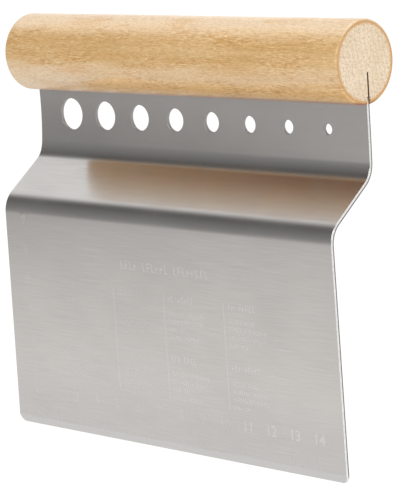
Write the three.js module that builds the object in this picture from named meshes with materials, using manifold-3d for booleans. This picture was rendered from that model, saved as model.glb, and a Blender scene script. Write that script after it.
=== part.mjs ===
// Bench scraper: one sheet of stainless steel, pressed to a shallow Z and
// bonded into a saw kerf along the underside of a round beech handle.
//
// Millimetres, +Z up. +X runs along the handle and -Y is the front, the side
// that the lower face of the blade steps out to. The origin is the middle of
// the scraping edge, on the narrow flat that the bevel leaves.

import * as THREE from 'three';
import { mergeVertices } from 'three/addons/utils/BufferGeometryUtils.js';
import Module from 'manifold-3d';

// ---- driving dimensions ----------------------------------------------------

// Blade sheet
const SHEET = 1.2;                // thickness
const BLADE_WIDTH = 149;          // along X, from the tang down to the lower bend
const EDGE_WIDTH = 151;           // the lower face widens to this at the scraping edge
const STEP_OUT = 19.3;            // how far the Z-bend carries the lower face forward
const UPPER_BEND_Z = 91.4;        // where the upper face and the slant would meet
const LOWER_BEND_Z = 77.0;        // where the slant and the lower face would meet
const BEND_RADIUS = 8.0;          // both bends, at the middle of the sheet
const CORNER_RADIUS = 2.5;        // bottom corners of the blade

// Scraping edge: ground from the front only
const BEVEL_HEIGHT = 2.6;
const EDGE_LAND = 0.4;            // flat left at the bottom, against the back face

// Row of round holes under the handle, largest at the -X end
const HOLE_COUNT = 8;
const HOLE_ROW_Z = 104.7;
const FIRST_HOLE_X = -58.8;
const HOLE_PITCH = 16.7;
const LARGEST_HOLE = 10.7;        // diameter
const HOLE_STEP = 1.04;           // each hole is this much smaller than the last

// Beech handle
const HANDLE_RADIUS = 12.95;
const HANDLE_LENGTH = 150.4;
const HANDLE_AXIS_Z = 125.7;
const HANDLE_END_X = 74.9;        // its +X end, level with the blade's edge
const END_ROUNDING = 0.6;         // radius that eases both ends

// Saw kerf, and the tang inside it
const KERF_WIDTH = 1.5;
const KERF_DEPTH = 9.8;           // measured from the lowest line of the handle
const KERF_OFFSET = 0.85;         // sawn this far behind the axis of the dowel
const KERF_END_WIDTH = 0.6;       // beyond the tang the slot has sprung almost shut
const KERF_END_LENGTH = 3.5;      // it closes over this much of each end
const MOUTH_GAP = 0.3;            // the mouth stays open to just above the blade's shoulder
const TANG_GAP = 1.0;             // left between the tang and the roof of the kerf
const SHOULDER_RISE = 2.2;        // full blade width carries on this far into the kerf
const TANG_INSET = 5.0;           // above that the tang is cut back by this at each end
const TANG_CORNER = 1.5;          // radius on the top corners of the tang

// Bond line in the kerf
const BOND_RECESS = 1.2;          // stays this far up from the mouth of the kerf
const BOND_INSET = 3.0;           // and this far back from each end of the tang

// Facets
const BEND_SEGMENTS = 14;
const CORNER_SEGMENTS = 6;
const HANDLE_SEGMENTS = 96;

// ---- places that follow from them ------------------------------------------

const BLADE_Y = (EDGE_LAND - SHEET) / 2;        // mid-plane of the lower face
const TANG_Y = BLADE_Y + STEP_OUT;              // mid-plane of the upper face and tang
const HANDLE_BOTTOM = HANDLE_AXIS_Z - HANDLE_RADIUS;
const KERF_ROOF = HANDLE_BOTTOM + KERF_DEPTH;
const TANG_TOP = KERF_ROOF - TANG_GAP;
const TANG_HALF_WIDTH = BLADE_WIDTH / 2 - TANG_INSET;
const BEND_ANGLE = Math.atan2(STEP_OUT, UPPER_BEND_Z - LOWER_BEND_Z);
const BEND_TANGENT = BEND_RADIUS * Math.tan(BEND_ANGLE / 2);
const LOWER_FACE_TOP = LOWER_BEND_Z - BEND_TANGENT;
const UPPER_FACE_FOOT = UPPER_BEND_Z + BEND_TANGENT;

// ---- helpers ---------------------------------------------------------------

const wasm = await Module();
wasm.setup();

const X_AXIS = new THREE.Vector3(1, 0, 0);
const Y_AXIS = new THREE.Vector3(0, 1, 0);
const Z_AXIS = new THREE.Vector3(0, 0, 1);

// A closed three.js geometry as a manifold solid.
function toSolid(geometry) {
  const bare = geometry.clone();
  bare.deleteAttribute('normal');
  bare.deleteAttribute('uv');
  const merged = mergeVertices(bare, 1e-4);
  return new wasm.Manifold(new wasm.Mesh({
    numProp: 3,
    vertProperties: new Float32Array(merged.attributes.position.array),
    triVerts: new Uint32Array(merged.index.array),
  }));
}

// A manifold solid as a three.js geometry.
function toGeometry(solid) {
  const mesh = solid.getMesh();
  const geometry = new THREE.BufferGeometry();
  geometry.setAttribute('position', new THREE.BufferAttribute(mesh.vertProperties, 3));
  geometry.setIndex(new THREE.BufferAttribute(mesh.triVerts, 1));
  geometry.computeVertexNormals();
  return geometry;
}

// Extrudes an outline drawn in (y, z) along X, centred on x = 0.
function extrudeAlongX(shape, length, curveSegments) {
  const geometry = new THREE.ExtrudeGeometry(shape, {
    depth: length, bevelEnabled: false, curveSegments,
  });
  geometry.translate(0, 0, -length / 2);
  geometry.applyMatrix4(new THREE.Matrix4().makeBasis(Y_AXIS, Z_AXIS, X_AXIS));
  return geometry;
}

// Extrudes an outline drawn in (x, z) along Y, from y = near to y = far.
function extrudeAlongY(shape, near, far, curveSegments) {
  const geometry = new THREE.ExtrudeGeometry(shape, {
    depth: far - near, bevelEnabled: false, curveSegments,
  });
  geometry.translate(0, 0, -far);
  geometry.applyMatrix4(new THREE.Matrix4().makeBasis(X_AXIS, Z_AXIS, Y_AXIS.clone().negate()));
  return geometry;
}

function namedMesh(name, geometry, material) {
  const mesh = new THREE.Mesh(geometry, material);
  mesh.name = name;
  return mesh;
}

// ---- blade -----------------------------------------------------------------

// Side view of the sheet in (y, z): up the front, over the tang, down the back.
function bladeSideView() {
  const half = SHEET / 2;
  const upper = { y: TANG_Y - BEND_RADIUS, z: UPPER_FACE_FOOT };
  const lower = { y: BLADE_Y + BEND_RADIUS, z: LOWER_FACE_TOP };

  const shape = new THREE.Shape();
  shape.moveTo(BLADE_Y + half - EDGE_LAND, 0);
  shape.lineTo(BLADE_Y - half, BEVEL_HEIGHT);
  shape.absarc(lower.y, lower.z, BEND_RADIUS + half, Math.PI, Math.PI - BEND_ANGLE, true);
  shape.absarc(upper.y, upper.z, BEND_RADIUS - half, -BEND_ANGLE, 0, false);
  shape.lineTo(TANG_Y - half, TANG_TOP);
  shape.lineTo(TANG_Y + half, TANG_TOP);
  shape.absarc(upper.y, upper.z, BEND_RADIUS + half, 0, -BEND_ANGLE, true);
  shape.absarc(lower.y, lower.z, BEND_RADIUS - half, Math.PI - BEND_ANGLE, Math.PI, false);
  shape.lineTo(BLADE_Y + half, 0);
  shape.closePath();
  return shape;
}

// Front view of the sheet in (x, z): rounded bottom corners, shoulders where
// the tang starts, and the row of holes.
function bladeFrontView() {
  const side = BLADE_WIDTH / 2;
  const shoulder = HANDLE_BOTTOM + SHOULDER_RISE;
  const quarter = Math.PI / 2;
  const flare = Math.atan2((EDGE_WIDTH - BLADE_WIDTH) / 2, LOWER_FACE_TOP);
  const cornerX = EDGE_WIDTH / 2 - CORNER_RADIUS * (Math.tan(flare) + 1 / Math.cos(flare));

  const shape = new THREE.Shape();
  shape.moveTo(-cornerX, 0);
  shape.absarc(cornerX, CORNER_RADIUS, CORNER_RADIUS, -quarter, flare, false);
  shape.lineTo(side, LOWER_FACE_TOP);
  shape.lineTo(side, shoulder);
  shape.lineTo(TANG_HALF_WIDTH, shoulder);
  shape.absarc(TANG_HALF_WIDTH - TANG_CORNER, TANG_TOP - TANG_CORNER, TANG_CORNER, 0, quarter, false);
  shape.absarc(TANG_CORNER - TANG_HALF_WIDTH, TANG_TOP - TANG_CORNER, TANG_CORNER, quarter, Math.PI, false);
  shape.lineTo(-TANG_HALF_WIDTH, shoulder);
  shape.lineTo(-side, shoulder);
  shape.lineTo(-side, LOWER_FACE_TOP);
  shape.absarc(-cornerX, CORNER_RADIUS, CORNER_RADIUS, Math.PI - flare, 3 * quarter, false);

  for (let i = 0; i < HOLE_COUNT; i++) {
    const radius = (LARGEST_HOLE - i * HOLE_STEP) / 2;
    const hole = new THREE.Path();
    hole.absarc(FIRST_HOLE_X + i * HOLE_PITCH, HOLE_ROW_Z, radius, 0, 2 * Math.PI, true);
    shape.holes.push(hole);
  }
  return shape;
}

// The blade is what both views agree on: the bent strip, trimmed to its front view.
function makeBlade() {
  const clearance = 5;
  const strip = toSolid(extrudeAlongX(bladeSideView(), EDGE_WIDTH, BEND_SEGMENTS));
  const outline = toSolid(
    extrudeAlongY(bladeFrontView(), BLADE_Y - clearance, TANG_Y + clearance, BEND_SEGMENTS));
  const steel = new THREE.MeshStandardMaterial({ color: 0xb4b2af, roughness: 0.38, metalness: 1.0 });
  return namedMesh('blade', toGeometry(strip.intersect(outline)), steel);
}

// ---- handle ----------------------------------------------------------------

// Half outline of the dowel as (radius, distance along its axis), eased at both ends.
function dowelOutline() {
  const half = HANDLE_LENGTH / 2;
  const points = [new THREE.Vector2(0, -half)];
  for (const end of [-1, 1]) {
    for (let i = 0; i <= CORNER_SEGMENTS; i++) {
      const turn = (Math.PI / 2) * (end < 0 ? i : CORNER_SEGMENTS - i) / CORNER_SEGMENTS;
      points.push(new THREE.Vector2(
        HANDLE_RADIUS - END_ROUNDING * (1 - Math.sin(turn)),
        end * (half - END_ROUNDING * (1 - Math.cos(turn)))));
    }
  }
  points.push(new THREE.Vector2(0, half));
  return points;
}

// Plan view of the kerf in (x, y) from the middle of the dowel: parallel around
// the tang, closing towards both ends, and run out past them.
function kerfPlan(runOut) {
  const end = HANDLE_LENGTH / 2;
  const side = [
    [-end - runOut, KERF_END_WIDTH / 2],
    [-end, KERF_END_WIDTH / 2],
    [-end + KERF_END_LENGTH, KERF_WIDTH / 2],
    [end - KERF_END_LENGTH, KERF_WIDTH / 2],
    [end, KERF_END_WIDTH / 2],
    [end + runOut, KERF_END_WIDTH / 2],
  ];
  const lower = side.map(([x, y]) => new THREE.Vector2(x, -y));
  const upper = side.map(([x, y]) => new THREE.Vector2(x, y)).reverse();
  return new THREE.Shape([...lower, ...upper]);
}

// The dowel in its own frame, axis on X, with the kerf sawn in from below.
function makeHandle() {
  const runOut = 5;
  const below = -HANDLE_RADIUS - runOut;
  const dowel = new THREE.LatheGeometry(dowelOutline(), HANDLE_SEGMENTS);
  dowel.rotateZ(-Math.PI / 2);
  const slot = new THREE.ExtrudeGeometry(kerfPlan(runOut), {
    depth: runOut + KERF_DEPTH, bevelEnabled: false,
  });
  slot.translate(0, KERF_OFFSET, below);
  const mouthHeight = runOut + SHOULDER_RISE + MOUTH_GAP;
  const mouth = new THREE.BoxGeometry(HANDLE_LENGTH + 2 * runOut, KERF_WIDTH, mouthHeight);
  mouth.translate(0, KERF_OFFSET, below + mouthHeight / 2);
  const sawn = toSolid(dowel).subtract(toSolid(slot)).subtract(toSolid(mouth));
  const beech = new THREE.MeshStandardMaterial({ color: 0xd8b27a, roughness: 0.5, metalness: 0.0 });
  const handle = namedMesh('handle', toGeometry(sawn), beech);
  handle.position.set(HANDLE_END_X - HANDLE_LENGTH / 2, TANG_Y - KERF_OFFSET, HANDLE_AXIS_Z);
  return handle;
}

// ---- bond line -------------------------------------------------------------

// Cured adhesive: an upside-down channel that fills the kerf around the tang.
function makeBondLine() {
  const outer = KERF_WIDTH / 2;
  const inner = SHEET / 2;
  const foot = HANDLE_BOTTOM + SHOULDER_RISE + BOND_RECESS;
  const shape = new THREE.Shape();
  shape.moveTo(-outer, foot);
  shape.lineTo(-outer, KERF_ROOF);
  shape.lineTo(outer, KERF_ROOF);
  shape.lineTo(outer, foot);
  shape.lineTo(inner, foot);
  shape.lineTo(inner, TANG_TOP);
  shape.lineTo(-inner, TANG_TOP);
  shape.lineTo(-inner, foot);
  shape.closePath();
  const length = 2 * (TANG_HALF_WIDTH - BOND_INSET);
  const adhesive = new THREE.MeshStandardMaterial({ color: 0x6a4b2c, roughness: 0.45, metalness: 0.0 });
  const bond = namedMesh('bond_line', extrudeAlongX(shape, length, 1), adhesive);
  bond.position.y = TANG_Y;
  return bond;
}

// ---- assembly --------------------------------------------------------------

const benchScraper = new THREE.Group();
benchScraper.name = 'bench_scraper';
benchScraper.add(makeBlade(), makeHandle(), makeBondLine());

export default benchScraper;
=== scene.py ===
"""Bench scraper: the finished look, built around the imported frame.

Metres, in the frame's axes: +X runs along the handle, -Y is the front, +Z is
up, and the origin is the middle of the scraping edge.
"""

import math

import bmesh
import bpy
from mathutils import Matrix, Vector, geometry, noise


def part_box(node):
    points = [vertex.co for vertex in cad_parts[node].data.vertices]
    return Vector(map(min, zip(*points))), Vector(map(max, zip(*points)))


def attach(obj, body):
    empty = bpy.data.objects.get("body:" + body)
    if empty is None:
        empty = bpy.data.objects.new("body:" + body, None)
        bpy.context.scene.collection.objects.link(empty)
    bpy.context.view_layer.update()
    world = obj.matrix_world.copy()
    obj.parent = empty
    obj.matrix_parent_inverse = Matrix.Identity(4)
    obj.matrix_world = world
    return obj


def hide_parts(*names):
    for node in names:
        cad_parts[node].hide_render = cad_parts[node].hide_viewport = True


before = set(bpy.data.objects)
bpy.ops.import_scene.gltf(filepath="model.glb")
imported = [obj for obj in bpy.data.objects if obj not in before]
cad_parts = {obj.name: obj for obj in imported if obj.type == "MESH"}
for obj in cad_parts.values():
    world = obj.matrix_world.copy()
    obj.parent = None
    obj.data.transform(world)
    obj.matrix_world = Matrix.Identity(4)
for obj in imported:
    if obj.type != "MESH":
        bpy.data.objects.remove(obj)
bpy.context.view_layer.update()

# ---- sizes -------------------------------------------------------------------

MM = 0.001

# Blade sheet
SHEET = 1.2 * MM
BLADE_WIDTH = 149.0 * MM        # from the tang down to the lower bend
EDGE_LAND = 0.4 * MM            # flat left at the scraping edge
BEVEL_HEIGHT = 2.6 * MM
UPPER_BEND_Z = 91.4 * MM
LOWER_BEND_Z = 77.0 * MM
BEND_RADIUS = 8.0 * MM          # at the middle of the sheet
CORNER_RADIUS = 2.5 * MM
TANG_CORNER = 1.5 * MM
TANG_INSET = 5.0 * MM
SHOULDER_RISE = 2.2 * MM        # the shoulders enter the kerf's mouth by this much
EDGE_BREAK = 0.1 * MM           # radius left on every cut edge of the sheet

# Row of holes
HOLE_COUNT = 8
HOLE_ROW_Z = 104.7 * MM
FIRST_HOLE_X = -58.8 * MM
HOLE_PITCH = 16.7 * MM
LARGEST_HOLE = 10.7 * MM
HOLE_STEP = 1.04 * MM           # each hole is this much narrower than the last

# Handle
END_ROUNDING = 0.6 * MM
KERF_WIDTH = 1.5 * MM
KERF_DEPTH = 9.8 * MM
KERF_OFFSET = 0.85 * MM         # sawn this far behind the axis of the dowel
KERF_END_WIDTH = 0.6 * MM       # beyond the tang the slot has sprung almost shut
KERF_END_LENGTH = 3.5 * MM      # it closes over this much of each end
MOUTH_GAP = 0.3 * MM            # the mouth stays open to just above the blade's shoulder

# Places read from the frame
blade_low, blade_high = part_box("blade")
handle_low, handle_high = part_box("handle")
edge_half = (blade_high.x - blade_low.x) / 2      # half the scraping edge
blade_half = BLADE_WIDTH / 2
blade_y = blade_low.y + SHEET / 2                 # mid-plane of the lower face
tang_y = blade_high.y - SHEET / 2                 # mid-plane of the upper face
handle_radius = (handle_high.z - handle_low.z) / 2
handle_axis = Vector((0, (handle_low.y + handle_high.y) / 2, handle_low.z + handle_radius))


# ---- the sheet's bent middle line ----------------------------------------------

bend_angle = math.atan2(tang_y - blade_y, UPPER_BEND_Z - LOWER_BEND_Z)
bend_tangent = BEND_RADIUS * math.tan(bend_angle / 2)
bend_arc = BEND_RADIUS * bend_angle
slant_length = math.hypot(tang_y - blade_y, UPPER_BEND_Z - LOWER_BEND_Z) - 2 * bend_tangent

# Distance up the sheet, from the scraping edge, at which each stretch starts.
LOWER_BEND_AT = LOWER_BEND_Z - bend_tangent
SLANT_AT = LOWER_BEND_AT + bend_arc
UPPER_BEND_AT = SLANT_AT + slant_length
UPPER_FACE_AT = UPPER_BEND_AT + bend_arc


def climb(z):
    """Distance up the sheet of a height on the upper face."""
    return UPPER_FACE_AT + z - (UPPER_BEND_Z + bend_tangent)


def half_width(s):
    """Half the blade's width at distance s up it: the lower face widens to the scraping edge."""
    return edge_half + (blade_half - edge_half) * min(1.0, s / LOWER_BEND_AT)


SHOULDER_AT = climb(handle_low.z + SHOULDER_RISE)
TANG_TOP_AT = climb(blade_high.z)
HOLE_ROW_AT = climb(HOLE_ROW_Z)


def middle_line(s):
    """(y, z) of the sheet's middle at distance s up it, and its back-facing normal."""
    lower_centre = (blade_y + BEND_RADIUS, LOWER_BEND_AT)
    upper_centre = (tang_y - BEND_RADIUS, UPPER_BEND_Z + bend_tangent)
    if s <= LOWER_BEND_AT:
        return (blade_y, s), (1.0, 0.0)
    if s <= SLANT_AT:
        turn = (s - LOWER_BEND_AT) / BEND_RADIUS
        normal = (math.cos(turn), -math.sin(turn))
        return (lower_centre[0] - BEND_RADIUS * normal[0], lower_centre[1] - BEND_RADIUS * normal[1]), normal
    if s <= UPPER_BEND_AT:
        start, normal = middle_line(SLANT_AT)
        run = s - SLANT_AT
        return (start[0] - run * normal[1], start[1] + run * normal[0]), normal
    if s <= UPPER_FACE_AT:
        turn = bend_angle - (s - UPPER_BEND_AT) / BEND_RADIUS
        normal = (math.cos(turn), -math.sin(turn))
        return (upper_centre[0] + BEND_RADIUS * normal[0], upper_centre[1] + BEND_RADIUS * normal[1]), normal
    return (tang_y, upper_centre[1] + s - UPPER_FACE_AT), (1.0, 0.0)


WAVINESS = 0.012 * MM           # the rolled sheet isn't perfectly flat
WAVE_LENGTH = 38.0 * MM
WAVE_STRETCH = 1.6              # the waves are this much shorter up the sheet than across it
WAVE_FADE = 12.0 * MM           # they die away over this much at the scraping edge and above the bends
SOFT_BOW = 0.30 * MM            # the sheet bows forwards at the top of its upper bend
SOFT_DISH = 0.12 * MM           # and is dished backwards a little above it
SOFT_LEAN = 0.75                # both are greater by this share at the -X side and less at the +X side
SOFT_ABOVE = 18.0 * MM          # they end this far above the top of the bend
SOFT_BELOW = 9.0 * MM           # and this far below it


def soft_bow(x, s):
    """How far forwards the sheet stands around its upper bend, where it was pressed softly."""
    above = (s - UPPER_FACE_AT) / SOFT_ABOVE
    below = (UPPER_FACE_AT - s) / SOFT_BELOW
    if above >= 1 or below >= 1:
        return 0.0
    size = 1 - SOFT_LEAN * x / blade_half
    if above >= 0:
        return size * (SOFT_BOW * (1 - above) ** 2 - 4 * SOFT_DISH * above * (1 - above))
    slope = (2 * SOFT_BOW + 4 * SOFT_DISH) * SOFT_BELOW / SOFT_ABOVE
    return size * (1 - below) ** 2 * (SOFT_BOW * (1 + 2 * below) + slope * below)


def sheet_point(x, s, side, depth=0.0):
    """A point on the sheet's front (side -1) or back (side 1) skin, sunk into it by depth.

    The front of the lowest stretch is ground away to a bevel.
    """
    (y, z), (normal_y, normal_z) = middle_line(s)
    half = SHEET / 2
    offset = side * (half - depth)
    if side < 0 and s < BEVEL_HEIGHT:
        ground_away = (SHEET - EDGE_LAND) * (1 - s / BEVEL_HEIGHT)
        offset = -half + ground_away + depth
    wave = (1 + noise.noise(Vector((x, s * WAVE_STRETCH, 0.3)) / WAVE_LENGTH)) * WAVINESS
    wave *= min(1.0, s / WAVE_FADE)
    if s > UPPER_FACE_AT:
        wave *= max(0.0, 1 - (s - UPPER_FACE_AT) / WAVE_FADE)
    offset += wave - soft_bow(x, s)
    return Vector((x, y + offset * normal_y, z + offset * normal_z))


# ---- camera --------------------------------------------------------------------

CAMERA_AZIMUTH = 45.78          # degrees round from the front, towards +X
CAMERA_ELEVATION = 10.0
CAMERA_ROLL = -3.85
CAMERA_DISTANCE = 0.792
AIM_HEIGHT = 65.07 * MM
AIM_RIGHT = -0.7 * MM
AIM_UP = -0.55 * MM
FILM = 36.0                     # mm, the picture's longer side
LENS = 180.36                   # mm


def make_camera():
    """Sees the blade's front and the handle's right end, a little from above."""
    azimuth = math.radians(CAMERA_AZIMUTH)
    elevation = math.radians(CAMERA_ELEVATION)
    back = Vector((math.sin(azimuth) * math.cos(elevation),
                   -math.cos(azimuth) * math.cos(elevation),
                   math.sin(elevation)))
    level = Vector((math.cos(azimuth), math.sin(azimuth), 0))
    tilt = Matrix.Rotation(math.radians(CAMERA_ROLL), 3, back)
    right = tilt @ level
    up = back.cross(right)
    aim = Vector((0, tang_y, AIM_HEIGHT))
    place = aim + back * CAMERA_DISTANCE + right * AIM_RIGHT + up * AIM_UP
    data = bpy.data.cameras.new("camera")
    data.lens = LENS
    data.sensor_width = FILM
    data.clip_start = 10 * MM
    camera = bpy.data.objects.new("camera", data)
    camera.matrix_world = Matrix.Translation(place) @ Matrix((right, up, back)).transposed().to_4x4()
    bpy.context.scene.collection.objects.link(camera)
    bpy.context.scene.camera = camera


# ---- shader helpers --------------------------------------------------------------

class Graph:
    """A thin wrapper that adds and links the nodes of one tree."""

    def __init__(self, tree):
        self.nodes = tree.nodes
        self.links = tree.links

    def add(self, kind, inputs=None, **settings):
        """Adds a node. An input is a value, or another node's output to link from."""
        node = self.nodes.new(kind)
        for key, value in settings.items():
            setattr(node, key, value)
        for key, value in (inputs or {}).items():
            self.feed(node, key, value)
        return node

    def feed(self, node, key, value):
        """Sets one input of a node, or links it from another node's output."""
        if isinstance(value, bpy.types.NodeSocket):
            self.links.new(value, node.inputs[key])
        else:
            node.inputs[key].default_value = value

    def scaled(self, vector, scale, offset=(0, 0, 0)):
        return self.add("ShaderNodeMapping", {
            "Vector": vector, "Scale": scale, "Location": offset,
        }).outputs["Vector"]

    def coordinates(self, kind, scale, offset=(0, 0, 0)):
        """Object or UV coordinates, scaled so that one unit is one cell of a texture."""
        return self.scaled(self.add("ShaderNodeTexCoord").outputs[kind], scale, offset)

    def noise(self, vector, detail=2.0, roughness=0.5, distortion=0.0):
        return self.add("ShaderNodeTexNoise", {
            "Vector": vector, "Scale": 1.0, "Detail": detail,
            "Roughness": roughness, "Distortion": distortion,
        }).outputs["Fac"]

    def remap(self, value, low, high, to_low=0.0, to_high=1.0):
        """Eases from to_low to to_high while value goes from low to high."""
        return self.add("ShaderNodeMapRange", {
            "Value": value, "From Min": low, "From Max": high, "To Min": to_low, "To Max": to_high,
        }, interpolation_type="SMOOTHSTEP").outputs["Result"]

    def math(self, operation, first, second=0.0):
        node = self.add("ShaderNodeMath", operation=operation)
        self.feed(node, 0, first)
        self.feed(node, 1, second)
        return node.outputs["Value"]

    def times(self, first, second):
        return self.math("MULTIPLY", first, second)

    def plus(self, first, second):
        return self.math("ADD", first, second)

    def minus(self, first, second):
        return self.math("SUBTRACT", first, second)

    def mix(self, factor, first, second, blend="MIX"):
        """Mixes two colours, each a tuple or another node's output."""
        node = self.add("ShaderNodeMix", data_type="RGBA", blend_type=blend)
        self.feed(node, "Factor", factor)
        for name, value in (("A", first), ("B", second)):
            socket = [s for s in node.inputs if s.name == name and s.type == "RGBA"][0]
            if isinstance(value, bpy.types.NodeSocket):
                self.links.new(value, socket)
            else:
                socket.default_value = (*value, 1.0)
        return [s for s in node.outputs if s.type == "RGBA"][0]

    def ramp(self, value, levels, tint=(1.0, 1.0, 1.0)):
        """A colour that follows value through (place, brightness) pairs."""
        first, last = levels[0][0], levels[-1][0]
        share = self.add("ShaderNodeMapRange", {"Value": value, "From Min": first, "From Max": last})
        node = self.add("ShaderNodeValToRGB", {"Fac": share.outputs["Result"]})
        stops = node.color_ramp.elements
        while len(stops) < len(levels):
            stops.new(0.5)
        for stop, (place, level) in zip(stops, levels):
            stop.position = (place - first) / (last - first)
            stop.color = (level * tint[0], level * tint[1], level * tint[2], 1.0)
        return node.outputs["Color"]

    def bump(self, height, distance, strength=1.0):
        return self.add("ShaderNodeBump", {
            "Height": height, "Distance": distance, "Strength": strength,
        }).outputs["Normal"]


class Shader(Graph):
    """The node tree of one new material."""

    def __init__(self, name):
        self.material = bpy.data.materials.new(name)
        self.material.use_nodes = True
        super().__init__(self.material.node_tree)

    def set(self, **values):
        """Sets or links inputs of the surface; underscores stand for spaces."""
        for key, value in values.items():
            self.feed(self.nodes["Principled BSDF"], key.replace("_", " "), value)


# ---- materials -------------------------------------------------------------------

UV_SCALE = 1 / (150 * MM)       # the sheet's UV square is 150 mm on a side
STREAK_TONE = 0.94              # brightness of the darker brushing lines
LOW_SHADE_BAND = (30 * MM, 8 * MM)  # painted shade: the sheet darkens from the first height down to the second, by the floor
LOW_SHADE_TONE = (0.915, 0.92, 0.925)      # what is left of its brightness there


def shade(colour, share):
    return tuple(channel * share for channel in colour)


def brushed_steel(name, colour, roughness, spread):
    """Stainless sheet, brushed along X: U runs up the sheet, V along the brushing."""
    shader = Shader(name)
    fine = shader.noise(shader.coordinates("UV", (900.0, 9.0, 1.0)))
    lines = shader.noise(shader.coordinates("UV", (420.0, 11.0, 1.0), (3.1, 0.4, 0)), detail=3.0)
    cloud = shader.noise(shader.coordinates("UV", (7.0, 5.0, 1.0), (0.7, 5.2, 0)), detail=3.0)
    streaks = shader.plus(shader.times(fine, 0.65), shader.times(lines, 0.35))
    tone = shader.mix(shader.remap(streaks, 0.3, 0.7), shade(colour, STREAK_TONE), colour)
    climbed = shader.add("ShaderNodeSeparateXYZ", {
        "Vector": shader.coordinates("UV", (1 / UV_SCALE, 1.0, 1.0)),
    }).outputs["X"]
    # Painted shade: the sheet is darker towards the scraping edge, where it stands on the floor.
    tone = shader.mix(shader.remap(climbed, *LOW_SHADE_BAND), tone, LOW_SHADE_TONE, blend="MULTIPLY")
    rough = shader.plus(shader.remap(streaks, 0.3, 0.7, roughness + 0.015, roughness - 0.015),
                        shader.remap(cloud, 0.35, 0.7, -0.01, 0.02))
    tangent = shader.add("ShaderNodeTangent", direction_type="UV_MAP", uv_map="sheet").outputs["Tangent"]
    shader.set(Base_Color=tone, Metallic=1.0, Roughness=rough, Anisotropic=spread, Tangent=tangent,
               Normal=shader.bump(streaks, 0.001 * MM, 0.2))
    return shader.material


def cut_steel(name, colour, roughness):
    """A cut wall of the sheet, scored by the tool that cut it."""
    shader = Shader(name)
    drag = shader.noise(shader.coordinates("Object", (900.0, 2500.0, 900.0)))
    shader.set(Base_Color=shader.mix(shader.remap(drag, 0.3, 0.7), shade(colour, 0.8), colour),
               Metallic=1.0,
               Roughness=shader.remap(drag, 0.3, 0.7, roughness - 0.05, roughness + 0.05),
               Normal=shader.bump(drag, 0.005 * MM, 0.5))
    return shader.material


PITH = Vector((0, 130.0 * MM, 30.0 * MM))  # heart of the tree, from the handle's axis
RING_WIDTH = 1.9 * MM
RING_WANDER = 5.5 * MM
RING_LEAN = 0.035               # the rings cross the dowel at this slope along it

# Colours of the long grain
BEECH = (0.70, 0.46, 0.21)
BEECH_DEEP = (0.60, 0.345, 0.115)
BEECH_PALE = (0.76, 0.60, 0.42)
BEECH_FOOT = (0.80, 0.46, 0.155)
BEECH_PATCH = (0.60, 0.315, 0.085)
FIBRE = (0.80, 0.60, 0.34)
LATE_WOOD = (0.42, 0.205, 0.065)
DARK_FLECK = (0.42, 0.205, 0.05)
LIGHT_FLECK = (0.86, 0.64, 0.36)
PORE = (0.38, 0.18, 0.05)
UNDERSIDE_SHADE = (0.32, 0.115, 0.03)

# Colours of the end grain
END_PALE = (0.86, 0.71, 0.53)
END_BAND = (0.80, 0.64, 0.45)
END_RING = (0.46, 0.28, 0.13)
END_RAY = (0.50, 0.32, 0.16)
END_PORE = (0.56, 0.36, 0.19)
END_FIBRE = (0.97, 0.86, 0.72)
END_RIM = (0.60, 0.30, 0.075)


def stretched(shader, vector, cell, offset=(0, 0, 0)):
    """Coordinates whose cells have the three given lengths in millimetres."""
    return shader.scaled(vector, tuple(1 / (length * MM) for length in cell), offset)


def beech_grain(shader):
    """Values that run through solid beech: rings round a distant pith, rays, pores, patches.

    With them goes "parts", the X, Y and Z of the place from the handle's axis.
    """
    place = shader.add("ShaderNodeTexCoord").outputs["Object"]
    local = shader.add("ShaderNodeVectorMath", {0: place, 1: tuple(handle_axis)},
                       operation="SUBTRACT").outputs["Vector"]
    parts = shader.add("ShaderNodeSeparateXYZ", {"Vector": local}).outputs

    # Growth rings, wandering along the handle.
    sway = shader.minus(shader.noise(stretched(shader, local, (70, 16, 16))), 0.5)
    drift = shader.plus(shader.times(sway, RING_WANDER), shader.times(parts["X"], RING_LEAN))
    dy = shader.plus(shader.minus(parts["Y"], PITH.y), drift)
    dz = shader.minus(parts["Z"], PITH.z)
    reach = shader.math("SQRT", shader.plus(shader.times(dy, dy), shader.times(dz, dz)))
    phase = shader.math("FRACT", shader.math("DIVIDE", reach, RING_WIDTH))

    return {
        "parts": parts,
        "late_wood": shader.math("POWER", phase, 5.0),
        # Rays are thin sheets that run out from the pith, seen as short spindles from the front.
        "rays": shader.noise(stretched(shader, local, (2.3, 7.0, 0.34)), 2.0, 0.55, 0.25),
        "pores": shader.noise(stretched(shader, local, (1.3, 0.9, 0.20)), 1.0),
        "fibre": shader.noise(stretched(shader, local, (14.0, 0.35, 0.35)), 3.0, 0.6),
        "band": shader.noise(stretched(shader, local, (46.0, 5.0, 4.2), (4.0, 1.0, 2.0)), 3.0, 0.55),
        "patch": shader.noise(stretched(shader, local, (22.0, 9.0, 5.0), (1.0, 7.0, 3.0)), 3.0, 0.6),
    }


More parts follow.
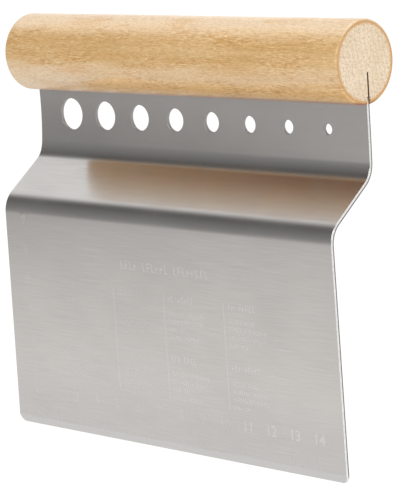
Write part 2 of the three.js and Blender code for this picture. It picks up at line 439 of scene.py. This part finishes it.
def beech_side():
    """Long grain under a thin satin lacquer: a painted highlight along the top, pale low down, golden at the
    foot, with painted shade beside the kerf.
    """
    shader = Shader("beech_side")
    grain = beech_grain(shader)
    along, height = grain["parts"]["X"], grain["parts"]["Z"]
    tone = shader.mix(shader.remap(grain["band"], 0.34, 0.66), BEECH, BEECH_DEEP)

    # A pale band along the top, painted highlight from the light above, and another pale band low down,
    # which drops and strengthens towards -X.
    level = shader.plus(height, shader.remap(grain["band"], 0.3, 0.7, -1.4 * MM, 1.4 * MM))
    drop = shader.remap(along, -20 * MM, -60 * MM, 0.0, 5.0 * MM)
    foot = shader.plus(level, drop)
    low_band = shader.times(shader.remap(level, -0.5 * MM, -4.0 * MM),
                            shader.remap(foot, -7.5 * MM, -5.0 * MM))
    low_pale = shader.times(low_band, shader.remap(drop, 0.0, 5.0 * MM, 0.36, 0.72))
    # Painted highlight: the band along the top of the dowel stands for light from above.
    pale = shader.plus(shader.remap(level, 6.5 * MM, 11.5 * MM, 0.0, 0.7), low_pale)
    tone = shader.mix(pale, tone, BEECH_PALE)
    tone = shader.mix(shader.remap(foot, -5.0 * MM, -8.5 * MM, 0.0, 0.8), tone, BEECH_FOOT)

    # Fibres, rings, patches, flecks and pores; the pale bands carry the fewest flecks.
    tone = shader.mix(shader.remap(grain["fibre"], 0.35, 0.7, 0.0, 0.30), tone, FIBRE)
    tone = shader.mix(shader.times(grain["late_wood"], 0.08), tone, LATE_WOOD)
    tone = shader.mix(shader.remap(grain["patch"], 0.50, 0.70, 0.0, 0.55), tone, BEECH_PATCH)
    flecked = shader.times(shader.remap(pale, 0.0, 0.7, 0.72, 0.25),
                           shader.remap(grain["patch"], 0.36, 0.62, 0.35, 1.0))
    dark_fleck = shader.times(shader.remap(grain["rays"], 0.53, 0.68), flecked)
    light_fleck = shader.times(shader.remap(grain["rays"], 0.47, 0.35), flecked)
    tone = shader.mix(dark_fleck, tone, DARK_FLECK)
    tone = shader.mix(light_fleck, tone, LIGHT_FLECK)
    tone = shader.mix(shader.remap(grain["pores"], 0.52, 0.68, 0.0, 0.42), tone, PORE)

    # Painted shade along the handle's underside beside the kerf, stronger towards +X.
    # Painted shade: the lowest strip of the dowel, next to the blade, is darkened.
    underside_shade = shader.times(shader.remap(height, -11.0 * MM, -12.3 * MM),
                            shader.remap(along, -70 * MM, 35 * MM, 0.35, 1.0))
    tone = shader.mix(underside_shade, tone, UNDERSIDE_SHADE)

    relief = shader.minus(grain["fibre"], shader.times(grain["pores"], 0.6))
    shader.set(Base_Color=tone, Roughness=shader.remap(grain["fibre"], 0.3, 0.7, 0.42, 0.52),
               Coat_Weight=0.7, Coat_Roughness=0.28, Normal=shader.bump(relief, 0.03 * MM, 0.5))
    return shader.material


def beech_end():
    """Sawn end grain: paler, with a burnished rim."""
    shader = Shader("beech_end")
    grain = beech_grain(shader)
    parts = grain["parts"]
    flat = shader.add("ShaderNodeCombineXYZ", {"Y": parts["Y"], "Z": parts["Z"]}).outputs["Vector"]
    radius = shader.add("ShaderNodeVectorMath", {0: flat}, operation="LENGTH").outputs["Value"]
    turned = shader.add("ShaderNodeMapping", {
        "Vector": flat, "Rotation": (math.atan2(PITH.z, PITH.y), 0, 0),
    }).outputs["Vector"]
    rays = shader.noise(stretched(shader, turned, (1000.0, 3.2, 0.45)), 1.5)
    speckle = shader.noise(stretched(shader, turned, (1000.0, 0.5, 0.8)))

    tone = shader.mix(shader.remap(grain["band"], 0.3, 0.7), END_PALE, END_BAND)
    ring = shader.times(grain["late_wood"], shader.remap(speckle, 0.35, 0.6, 0.35, 1.0))
    tone = shader.mix(shader.times(ring, 0.40), tone, END_RING)
    tone = shader.mix(shader.remap(rays, 0.50, 0.68, 0.0, 0.28), tone, END_RAY)
    tone = shader.mix(shader.remap(speckle, 0.52, 0.72, 0.0, 0.60), tone, END_PORE)
    tone = shader.mix(shader.remap(speckle, 0.30, 0.46, 0.6, 0.0), tone, END_FIBRE)
    ragged = shader.plus(radius, shader.remap(grain["fibre"], 0.3, 0.7, -0.35 * MM, 0.35 * MM))
    rim = shader.remap(ragged, handle_radius - 2.0 * MM, handle_radius - 0.7 * MM, 0.0, 0.95)
    tone = shader.mix(rim, tone, END_RIM)
    shader.set(Base_Color=tone, Roughness=0.62, Coat_Weight=0.12, Coat_Roughness=0.4,
               Normal=shader.bump(grain["pores"], 0.05 * MM, 0.6))
    return shader.material


def sawn_kerf():
    """Walls of the saw cut, painted dark brown as the shade deep in the narrow slot."""
    shader = Shader("sawn_kerf")
    teeth = shader.noise(shader.coordinates("Object", (900.0, 300.0, 2200.0)))
    # Painted shade: the slot's walls are dark brown.
    tone = shader.mix(shader.remap(teeth, 0.3, 0.7), (0.085, 0.035, 0.012), (0.19, 0.085, 0.03))
    shader.set(Base_Color=tone, Roughness=0.85, Normal=shader.bump(teeth, 0.05 * MM, 0.8))
    return shader.material


def cured_resin():
    """Amber adhesive, cloudy and half glossy."""
    shader = Shader("cured_resin")
    cloud = shader.noise(shader.coordinates("Object", (400.0, 400.0, 400.0)), detail=3.0)
    tone = shader.mix(shader.remap(cloud, 0.3, 0.7), (0.20, 0.10, 0.03), (0.34, 0.18, 0.06))
    shader.set(Base_Color=tone, Roughness=shader.remap(cloud, 0.3, 0.7, 0.25, 0.4))
    return shader.material


# ---- mesh helpers ------------------------------------------------------------------

def new_piece(name, mesh, materials=()):
    """Turns a finished bmesh into an object in the scene."""
    data = bpy.data.meshes.new(name)
    mesh.to_mesh(data)
    mesh.free()
    for material in materials:
        data.materials.append(material)
    piece = bpy.data.objects.new(name, data)
    bpy.context.scene.collection.objects.link(piece)
    return piece


def arc(centre_x, centre_s, radius, start, end, steps):
    """Points on a circular arc in the flat pattern; angles in degrees."""
    angles = [math.radians(start + (end - start) * i / steps) for i in range(steps + 1)]
    return [(centre_x + radius * math.cos(a), centre_s + radius * math.sin(a)) for a in angles]


# ---- blade -------------------------------------------------------------------------

GRID = 3.0 * MM                 # mesh spacing on flat stretches
BEND_STEPS = 18
CORNER_STEPS = 8
TANG_CORNER_STEPS = 6
ABOVE_CORNER = 0.05 * MM        # the sides' points start this far above the bottom corners
BELOW_SHOULDER = 0.3 * MM       # and end this far below the shoulders
GRID_CLEARANCE = 0.7 * MM       # grid points keep this far from every cut edge
SIDE_CLEARANCE = 1.2 * MM       # and this far from the sheet's sides
HOLE_POINTS = 56                # round the largest hole, and fewer round each one after it
HOLE_POINTS_STEP = 4
TORN_SHARE = 0.45               # part of a cut wall, at the back, that is torn and not burnished
SAME_HEIGHT = 1e-7              # m; heights closer than this are one row of mesh points

# The blade's material slots
BRUSHED, ETCHED, WORN, BURNISHED, TORN, PUNCHED, GROUND = range(7)


def sheet_stations():
    """Distances up the sheet that carry a row of mesh points."""
    rows = [BEVEL_HEIGHT]
    flats = ((BEVEL_HEIGHT, LOWER_BEND_AT), (SLANT_AT, UPPER_BEND_AT), (UPPER_FACE_AT, SHOULDER_AT))
    for start, end in flats:
        steps = round((end - start) / GRID)
        rows += [start + (end - start) * i / steps for i in range(steps + 1)]
    for start in (LOWER_BEND_AT, UPPER_BEND_AT):
        rows += [start + bend_arc * i / BEND_STEPS for i in range(1, BEND_STEPS)]
    return sorted(set(rows))


def sheet_outline(inset):
    """The flat pattern's outline, moved inwards, counter-clockwise from the bottom left."""
    flare = math.atan2(edge_half - blade_half, LOWER_BEND_AT)
    corner = CORNER_RADIUS - inset
    corner_x = edge_half - CORNER_RADIUS * (math.tan(flare) + 1 / math.cos(flare))
    tang = blade_half - TANG_INSET - inset
    tang_round = TANG_CORNER - inset
    shoulder = SHOULDER_AT - inset
    low, high = inset + corner + ABOVE_CORNER, shoulder - BELOW_SHOULDER
    right = arc(corner_x, inset + corner, corner, -90, math.degrees(flare), CORNER_STEPS)
    right += [(half_width(s) - inset, s) for s in sheet_stations() if low < s < high]
    right += [(blade_half - inset, shoulder), (tang, shoulder)]
    right += arc(tang - tang_round, TANG_TOP_AT - inset - tang_round, tang_round, 0, 90, TANG_CORNER_STEPS)
    left = [(-x, s) for x, s in reversed(right)]
    foot_count = math.floor((corner_x - GRID) / GRID)
    foot = [(i * GRID, inset) for i in range(-foot_count, foot_count + 1)]
    return foot + right + left


def hole_x(index):
    return FIRST_HOLE_X + index * HOLE_PITCH


def hole_radius(index):
    return (LARGEST_HOLE - index * HOLE_STEP) / 2


def hole_outline(index, inset):
    """One hole's outline, its wall moved outwards by the edge break, counter-clockwise."""
    radius = hole_radius(index) + inset
    steps = HOLE_POINTS - HOLE_POINTS_STEP * index
    return arc(hole_x(index), HOLE_ROW_AT, radius, 0, 360 - 360 / steps, steps - 1)


def grid_points():
    """Mesh points inside the pattern, clear of the outline and the holes."""
    points = []
    count = round((blade_half - GRID_CLEARANCE) / GRID)
    for s in sheet_stations():
        in_tang = s > SHOULDER_AT - GRID_CLEARANCE
        half = half_width(s) - SIDE_CLEARANCE - (TANG_INSET if in_tang else 0.0)
        for i in range(-count, count + 1):
            x = half * i / count
            clear = all(math.hypot(x - hole_x(k), s - HOLE_ROW_AT) > hole_radius(k) + GRID_CLEARANCE
                        for k in range(HOLE_COUNT))
            if clear and abs(s - SHOULDER_AT) > GRID_CLEARANCE:
                points.append((x, s))
    return points


def bevel_line(points):
    """Indexes of the points along the top of the bevel, from -X to +X."""
    on_line = [i for i, (_, s) in enumerate(points) if abs(s - BEVEL_HEIGHT) < SAME_HEIGHT]
    return sorted(on_line, key=lambda i: points[i][0])


def flat_skin(loops, marks):
    """Triangulates the pattern: its points, (triangle, slot) pairs, and the points on each loop.

    The first loop is the sheet's outline and the rest are its holes. Each mark is an outline and
    the slot of its faces.
    """
    points, faces = [], []
    for loop in loops + [outline for outline, _ in marks]:
        faces.append(list(range(len(points), len(points) + len(loop))))
        points += loop
    points += grid_points()
    in_mm = [Vector((x / MM, s / MM)) for x, s in points]
    line = bevel_line(points)
    edges = list(zip(line, line[1:]))
    out, _, triangles, origins, _, sources = geometry.delaunay_2d_cdt(in_mm, edges, faces, 0, 1e-5)
    kept = []
    for triangle, source in zip(triangles, sources):
        in_hole = any(1 <= face < len(loops) for face in source)
        if 0 in source and not in_hole:
            slots = [marks[face - len(loops)][1] for face in source if face >= len(loops)]
            kept.append((triangle, slots[0] if slots else BRUSHED))
    place = {before: after for after, befores in enumerate(origins) for before in befores}
    on_loops = [[place[i] for i in faces[k]] for k in range(len(loops))]
    return [(p.x * MM, p.y * MM) for p in out], kept, on_loops


def sheet_uv(x, s):
    return s * UV_SCALE, (x + blade_half) * UV_SCALE


def add_skin(mesh, uv, skin, side):
    """Adds one skin of the sheet. Returns the vertices along each boundary loop."""
    points, triangles, on_loops = skin
    verts = [mesh.verts.new(sheet_point(x, s, side)) for x, s in points]
    for triangle, slot in triangles:
        corners = triangle if side < 0 else list(reversed(triangle))
        face = mesh.faces.new([verts[i] for i in corners])
        face.smooth = True
        on_bevel = side < 0 and max(points[i][1] for i in triangle) < BEVEL_HEIGHT + SAME_HEIGHT
        face.material_index = GROUND if on_bevel else slot
        for loop, i in zip(face.loops, corners):
            loop[uv].uv = sheet_uv(*points[i])
    if side < 0:
        line = bevel_line(points)
        for i, j in zip(line, line[1:]):
            mesh.edges.get((verts[i], verts[j])).smooth = False
    return [[verts[i] for i in loop] for loop in on_loops]


def add_rim(mesh, uv, make_loop, front, back, slots):
    """Walls a boundary loop from the front skin to the back skin, with broken edges.

    The two slots are for the wall's front part, sheared bright, and its back part, torn.
    """
    shear = SHEET * (1 - TORN_SHARE)
    # Turn round the broken edge in degrees, the skin it belongs to, and the least depth below it.
    rings = [(45, -1, 0.0), (90, -1, 0.0), (90, -1, shear), (90, 1, 0.0), (45, 1, 0.0)]
    rows = [front]
    for degrees, side, least in rings:
        turn = math.radians(degrees)
        inset = EDGE_BREAK * (1 - math.sin(turn))
        depth = max(EDGE_BREAK * (1 - math.cos(turn)), least)
        rows.append([mesh.verts.new(sheet_point(x, s, side, depth)) for x, s in make_loop(inset)])
    rows.append(back)
    loop = make_loop(0.0)
    for near, far, slot in zip(rows, rows[1:], [slots[0]] * 3 + [slots[1]] * 3):
        for i in range(len(loop)):
            j = (i + 1) % len(loop)
            face = mesh.faces.new([near[i], far[i], far[j], near[j]])
            face.smooth = True
            face.material_index = slot
            for corner in face.loops:
                corner[uv].uv = sheet_uv(*loop[i])
    for row in (rows[0], rows[2], rows[4], rows[6]):
        for i in range(len(loop)):
            edge = mesh.edges.get((row[i], row[(i + 1) % len(loop)]))
            edge.smooth = False


def make_blade(materials, marks):
    """The bent sheet as one closed mesh: two skins joined by rims with broken edges."""
    mesh = bmesh.new()
    uv = mesh.loops.layers.uv.new("sheet")
    loop_makers = [sheet_outline] + [
        lambda inset, index=index: hole_outline(index, inset) for index in range(HOLE_COUNT)]
    loops = [make_loop(EDGE_BREAK) for make_loop in loop_makers]
    fronts = add_skin(mesh, uv, flat_skin(loops, marks), -1)
    backs = add_skin(mesh, uv, flat_skin(loops, []), 1)
    wall_slots = [(BURNISHED, TORN)] + [(PUNCHED, PUNCHED)] * HOLE_COUNT
    for make_loop, front, back, slots in zip(loop_makers, fronts, backs, wall_slots):
        add_rim(mesh, uv, make_loop, front, back, slots)
    bmesh.ops.recalc_face_normals(mesh, faces=mesh.faces)
    return new_piece("blade_sheet", mesh, materials)


# ---- etched marks --------------------------------------------------------------------

DIGIT_SIZE = 3.6 * 1.38 * MM    # the font's size for numbers 3.6 mm high
DIGIT_SWELL = 0.06 * MM         # the etching thickens their strokes by this
BOTTOM_DIGITS_S = 12.4 * MM     # height of the middle of the numbers along the edge
SIDE_DIGITS_X = 9.6 * MM        # from the rulers' zero to the numbers up the side
SIDE_DIGITS_RISE = 0.7 * MM     # these stand a little above their ticks
RULER_ZERO_X = -75.0 * MM
TICK_FOOT = BEVEL_HEIGHT + 0.5 * MM
SIDE_TICKS_INSET = 0.8 * MM     # from the blade's side
BOTTOM_TICKS = range(5, 146)    # millimetres that are marked along the edge
SIDE_TICKS = range(7, 71)       # and up the side
TICKS = ((10, 4.0, 0.07), (5, 2.7, 0.06), (1, 1.5, 0.04))  # every so many mm: length and half thickness
FIRST_CLEAR_NUMBER = 11         # the numbers before it are worn faint
WORN_LEFT_OF = -19.0            # mm; so is the table's wording to the left of here
SMALLEST_MARK = 1e-10           # m2; the font's outlines leave a few empty slivers

# The table, in millimetres: x, and s up the sheet
TITLE_RULE = (24.0, 59.78, 43.0, 59.92)
DIVIDERS = (-23.0, 0.5, 27.4)
DIVIDER_SPAN = (17.0, 51.5)
DIVIDER_HALF = 0.12
COLUMNS = ((-45.5, 18.0), (-20.5, 17.0), (2.6, 21.0), (29.6, 19.0))    # left x and width
BLOCKS = (45.0, 25.2)           # foot of each block's first line
LINES = 4
LINE_PITCH = 2.6
SMALL_WRITING = 1.3             # height of the blocks' writing
HEADINGS = (                    # left x, foot s, height, widths of the words
    (-18.5, 58.3, 2.8, (8.0, 12.0, 17.0)),
    (-42.5, 49.4, 2.0, (5.0,)), (-20.5, 49.4, 2.0, (7.0, 2.5)),
    (2.6, 49.4, 2.0, (3.0, 7.5)), (29.6, 49.4, 2.0, (3.0, 6.5)),
    (-42.5, 29.8, 2.0, (5.0,)), (-20.5, 29.8, 2.0, (3.0, 5.0)),
    (2.6, 29.8, 2.0, (4.0, 5.4)), (29.6, 29.8, 2.0, (4.0, 7.6)),
)


def box_mark(x0, s0, x1, s1):
    return [(x0, s0), (x1, s0), (x1, s1), (x0, s1)]


def number_marks(value, x, s):
    """Outlines of a number's faces, centred on (x, s)."""
    curve = bpy.data.curves.new("number", "FONT")
    curve.body = str(value)
    curve.align_x = "CENTER"
    curve.align_y = "CENTER"
    curve.size = DIGIT_SIZE
    curve.resolution_u = 2
    curve.offset = DIGIT_SWELL
    holder = bpy.data.objects.new("number", curve)
    bpy.context.scene.collection.objects.link(holder)
    evaluated = holder.evaluated_get(bpy.context.evaluated_depsgraph_get())
    flat = evaluated.to_mesh()
    marks = []
    for polygon in flat.polygons:
        corners = [(x + flat.vertices[i].co.x, s + flat.vertices[i].co.y) for i in polygon.vertices]
        if polygon.area > SMALLEST_MARK:
            marks.append(corners if polygon.normal.z > 0 else corners[::-1])
    evaluated.to_mesh_clear()
    bpy.data.objects.remove(holder)
    bpy.data.curves.remove(curve)
    return marks


def tick_size(count):
    """Length and half thickness of the tick at a count of millimetres."""
    _, length, half = next(tick for tick in TICKS if count % tick[0] == 0)
    return length * MM, half * MM


def ruler_marks():
    """Centimetre rulers along the scraping edge and up the -X side, worn but for the last numbers."""
    worn, clear = [], []
    for count in BOTTOM_TICKS:
        x = RULER_ZERO_X + count * MM
        length, half = tick_size(count)
        worn.append(box_mark(x - half, TICK_FOOT, x + half, TICK_FOOT + length))
    for count in SIDE_TICKS:
        s = count * MM
        left = SIDE_TICKS_INSET - half_width(s)
        length, half = tick_size(count)
        worn.append(box_mark(left, s - half, left + length, s + half))
    for number in range(1, 15):
        outlines = number_marks(number, RULER_ZERO_X + number * 10 * MM, BOTTOM_DIGITS_S)
        (worn if number < FIRST_CLEAR_NUMBER else clear).extend(outlines)
    for number in range(2, 8):
        worn += number_marks(number, RULER_ZERO_X + SIDE_DIGITS_X, number * 10 * MM + SIDE_DIGITS_RISE)
    return [(outline, WORN) for outline in worn] + [(outline, ETCHED) for outline in clear]


def scribble(x, s, height, width, turn):
    """A run of letter-like strokes that spells nothing, from x, with its foot at s.

    Each stroke stands upright and has up to two short arms; turn varies the order of the five kinds.
    """
    marks = []
    pitch = height * 0.72
    thick = height * 0.13
    for i in range(max(1, round(width / pitch))):
        left = x + i * pitch
        kind = (turn + 3 * i + i * i) % 5
        marks.append(box_mark(left, s, left + thick, s + height * (1.0 if kind != 3 else 0.7)))
        arm = left + thick * 1.2
        reach = arm + pitch * 0.42
        levels = ((0.0,), (0.87,), (0.0, 0.87), (0.42,), (0.42, 0.87))[kind]
        for level in levels:
            foot = s + height * level
            marks.append(box_mark(arm, foot, reach, foot + thick))
    return marks


def table_marks():
    """A ruled table whose wording is only strokes that look like writing from afar."""
    marks = [(box_mark(*(length * MM for length in TITLE_RULE)), WORN)]
    low, high = DIVIDER_SPAN
    for x in DIVIDERS:
        line = box_mark((x - DIVIDER_HALF) * MM, low * MM, (x + DIVIDER_HALF) * MM, high * MM)
        marks.append((line, ETCHED))
    words = list(HEADINGS)
    for column, (x, width) in enumerate(COLUMNS):
        for block in BLOCKS:
            for row in range(LINES):
                # Two words a line, their widths varied from line to line and kept inside the column.
                first = 4.0 + 1.7 * ((row * 5 + column * 3) % 4)
                second = min(3.0 + 1.3 * ((row * 3 + column * 7) % 5), width - first - 1.0)
                words.append((x, block - LINE_PITCH * row, SMALL_WRITING, (first, second)))
    for turn, (x, s, height, widths) in enumerate(words):
        slot = WORN if x < WORN_LEFT_OF else ETCHED
        for width in widths:
            outlines = scribble(x * MM, s * MM, height * MM, width * MM, turn)
            marks += [(outline, slot) for outline in outlines]
            x += width + height * 0.8
    return marks


# ---- handle ----------------------------------------------------------------------------

AROUND = 160                    # points round the dowel, from one lip of the kerf to the other
HANDLE_RINGS = 90
EASED_STEPS = 8                 # across each rounded end
SANDING_WAVE = 0.05 * MM        # hand-fed sanding leaves the dowel slightly uneven
SANDING_LENGTH = 17 * MM
SANDING_FADE = 6 * MM           # the ends are left true
TRUE_LIPS = 3                   # and so are this many points from each lip of the kerf
LONG_GRAIN, END_GRAIN, KERF = range(3)      # the handle's material slots


def kerf_half_width(along):
    """Half the width of the slot at a distance from the nearer end of the handle."""
    share = min(1.0, max(0.0, along / KERF_END_LENGTH))
    return (KERF_END_WIDTH + (KERF_WIDTH - KERF_END_WIDTH) * share) / 2


def kerf_section(radius, slot):
    """Outline of the dowel, open at the kerf, in (y, z) from the handle's axis."""
    near, far = KERF_OFFSET - KERF_WIDTH / 2, KERF_OFFSET + KERF_WIDTH / 2
    start = math.asin(far / radius) - math.pi / 2
    sweep = 2 * math.pi - math.asin(far / radius) + math.asin(near / radius)
    turns = [start + sweep * i / AROUND for i in range(AROUND + 1)]
    rim = [(radius * math.cos(turn), radius * math.sin(turn)) for turn in turns]
    mouth = SHOULDER_RISE + MOUTH_GAP - handle_radius
    roof = KERF_DEPTH - handle_radius
    left, right = KERF_OFFSET - slot, KERF_OFFSET + slot
    return rim + [(near, mouth), (left, mouth), (left, roof), (right, roof), (right, mouth), (far, mouth)]


def dowel_profile():
    """(distance from the -X end, radius) of each ring of the dowel."""
    length = handle_high.x - handle_low.x
    eased = []
    for i in range(EASED_STEPS + 1):
        turn = math.pi / 2 * i / EASED_STEPS
        eased.append((END_ROUNDING * (1 - math.cos(turn)),
                      handle_radius - END_ROUNDING * (1 - math.sin(turn))))
    eased.append((KERF_END_LENGTH, handle_radius))
    run = length - 2 * KERF_END_LENGTH
    body = [(KERF_END_LENGTH + run * i / HANDLE_RINGS, handle_radius) for i in range(1, HANDLE_RINGS)]
    return eased + body + [(length - along, radius) for along, radius in reversed(eased)]


def dowel_ring(along, radius):
    """One ring of points round the dowel and through its kerf."""
    from_end = min(along, handle_high.x - handle_low.x - along)
    fade = min(1.0, from_end / SANDING_FADE)
    ring = []
    for index, (y, z) in enumerate(kerf_section(radius, kerf_half_width(from_end))):
        place = Vector((handle_low.x + along, y, z))
        if TRUE_LIPS < index < AROUND - TRUE_LIPS:
            sway = noise.noise(place / SANDING_LENGTH) - 0.6
            shrink = 1 + fade * SANDING_WAVE * sway / radius
            place.y *= shrink
            place.z *= shrink
        ring.append(place + handle_axis)
    return ring


def make_handle(materials):
    """The dowel with eased ends, its kerf cut through it from end to end."""
    mesh = bmesh.new()
    rings = [[mesh.verts.new(place) for place in dowel_ring(along, radius)]
             for along, radius in dowel_profile()]
    count = len(rings[0])
    for near, far in zip(rings, rings[1:]):
        for i in range(count):
            j = (i + 1) % count
            face = mesh.faces.new([near[i], near[j], far[j], far[i]])
            face.smooth = i < AROUND
            # The faces of the kerf's mouth stay pale like the end grain; only the slot is painted dark, as
            # shade.
            in_slot = AROUND + 2 <= i <= AROUND + 4
            face.material_index = LONG_GRAIN if i < AROUND else (KERF if in_slot else END_GRAIN)
    for ring in (rings[0], rings[-1]):
        mesh.faces.new(ring).material_index = END_GRAIN
    bmesh.ops.recalc_face_normals(mesh, faces=mesh.faces)
    for edge in mesh.edges:
        edge.smooth = len({face.material_index for face in edge.link_faces}) == 1
    return new_piece("handle_dowel", mesh, materials)


# ---- set -------------------------------------------------------------------------------

FLOOR_RADIUS = 4.0              # m

# The light table is plain TABLE_NEAR up to the first distance of TABLE_FRONT in front of the object
# and turns, by the second, into a glow of (metres, brightness) along the direction TABLE_AWAY.
TABLE_AWAY = (-0.85, -0.53)
TABLE_GLOW = ((0.0, 1.0), (0.05, 0.98), (0.12, 0.92), (0.22, 0.95), (0.33, 0.92), (0.45, 0.70),
              (0.60, 0.48), (0.85, 0.30), (1.3, 0.20))
TABLE_TINT = (1.0, 0.985, 0.97)
TABLE_FRONT = (0.03, 0.16)      # m
TABLE_NEAR = (1.01, 1.0, 0.99)

# Brightness of the surround by angle over the top, from the front horizon (0) to the back one (180).
# The dark stretch is a flag above the front: it draws the dark lines along both bends.
SURROUND = ((-90, 0.6), (-5, 0.34), (8, 0.29), (22, 0.25), (40, 0.18), (52, 0.10), (61, 0.10), (69, 0.34),
            (77, 0.90), (84, 1.10), (110, 1.12), (120, 0.62), (140, 0.62), (152, 1.10), (180, 1.12))


def light_table():
    """White table top, lit from inside, that darkens towards the front left."""
    shader = Shader("light_table")
    place = shader.add("ShaderNodeTexCoord").outputs["Object"]
    away = shader.add("ShaderNodeVectorMath", {0: place, 1: (*TABLE_AWAY, 0.0)}, operation="DOT_PRODUCT")
    front = shader.add("ShaderNodeVectorMath", {0: place, 1: (0.0, -1.0, 0.0)}, operation="DOT_PRODUCT")
    far_glow = shader.ramp(away.outputs["Value"], TABLE_GLOW, TABLE_TINT)
    in_front = shader.remap(front.outputs["Value"], *TABLE_FRONT)
    shader.set(Base_Color=(0.05, 0.05, 0.05, 1.0), Roughness=0.9, Specular_IOR_Level=0.0,
               Emission_Color=shader.mix(in_front, TABLE_NEAR, far_glow), Emission_Strength=1.0)
    return shader.material


def make_floor():
    """The table top that the scraper stands on, reaching past the picture on every side."""
    mesh = bmesh.new()
    bmesh.ops.create_circle(mesh, cap_ends=True, segments=96, radius=FLOOR_RADIUS)
    new_piece("floor", mesh, [light_table()])


def make_world():
    """Soft studio surround, the same all along X."""
    world = bpy.data.worlds.new("studio")
    world.use_nodes = True
    bpy.context.scene.world = world
    graph = Graph(world.node_tree)
    way = graph.add("ShaderNodeTexCoord").outputs["Generated"]
    parts = graph.add("ShaderNodeSeparateXYZ", {"Vector": way}).outputs
    over = graph.math("ARCTAN2", parts["Z"], graph.times(parts["Y"], -1.0))
    levels = [(math.radians(angle), level) for angle, level in SURROUND]
    graph.feed(graph.nodes["Background"], "Color", graph.ramp(over, levels))


def area_light(name, place, aim, size, power):
    """A square light of a given side, turned to face its aim."""
    data = bpy.data.lights.new(name, "AREA")
    data.size = size
    data.energy = power
    light = bpy.data.objects.new(name, data)
    light.location = place
    light.rotation_euler = (Vector(aim) - Vector(place)).to_track_quat("-Z", "Y").to_euler()
    bpy.context.scene.collection.objects.link(light)


def make_lights():
    """Metres and watts: a key from the front right, and a light over the handle."""
    area_light("key", (0.35, -1.0, 0.8), (0, 0, 0.08), 0.8, 9.8)
    area_light("top", (0.15, 0.40, 1.1), (0, 0, 0.12), 0.5, 4.6)


# ---- assembly ----------------------------------------------------------------------------

make_camera()
make_world()
make_lights()
make_floor()
bpy.context.scene.view_settings.view_transform = "Standard"

steel = brushed_steel("brushed_steel", (0.612, 0.594, 0.577), 0.195, 0.95)
etched = brushed_steel("etched_steel", (0.735, 0.72, 0.705), 0.38, 0.3)
worn = brushed_steel("worn_etch", (0.675, 0.66, 0.645), 0.29, 0.78)
burnished = cut_steel("burnished_steel", (0.86, 0.85, 0.84), 0.25)
torn = cut_steel("torn_steel", (0.26, 0.25, 0.24), 0.50)
punched = cut_steel("punched_steel", (0.36, 0.35, 0.34), 0.45)
ground = brushed_steel("ground_steel", (0.63, 0.62, 0.61), 0.34, 0.5)
blade_materials = [steel, etched, worn, burnished, torn, punched, ground]        # in slot order
blade = make_blade(blade_materials, ruler_marks() + table_marks())
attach(blade, "root")
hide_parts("blade")

handle = make_handle([beech_side(), beech_end(), sawn_kerf()])
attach(handle, "root")
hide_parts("handle")

bond_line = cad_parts["bond_line"]
bond_line.data.materials.clear()
bond_line.data.materials.append(cured_resin())
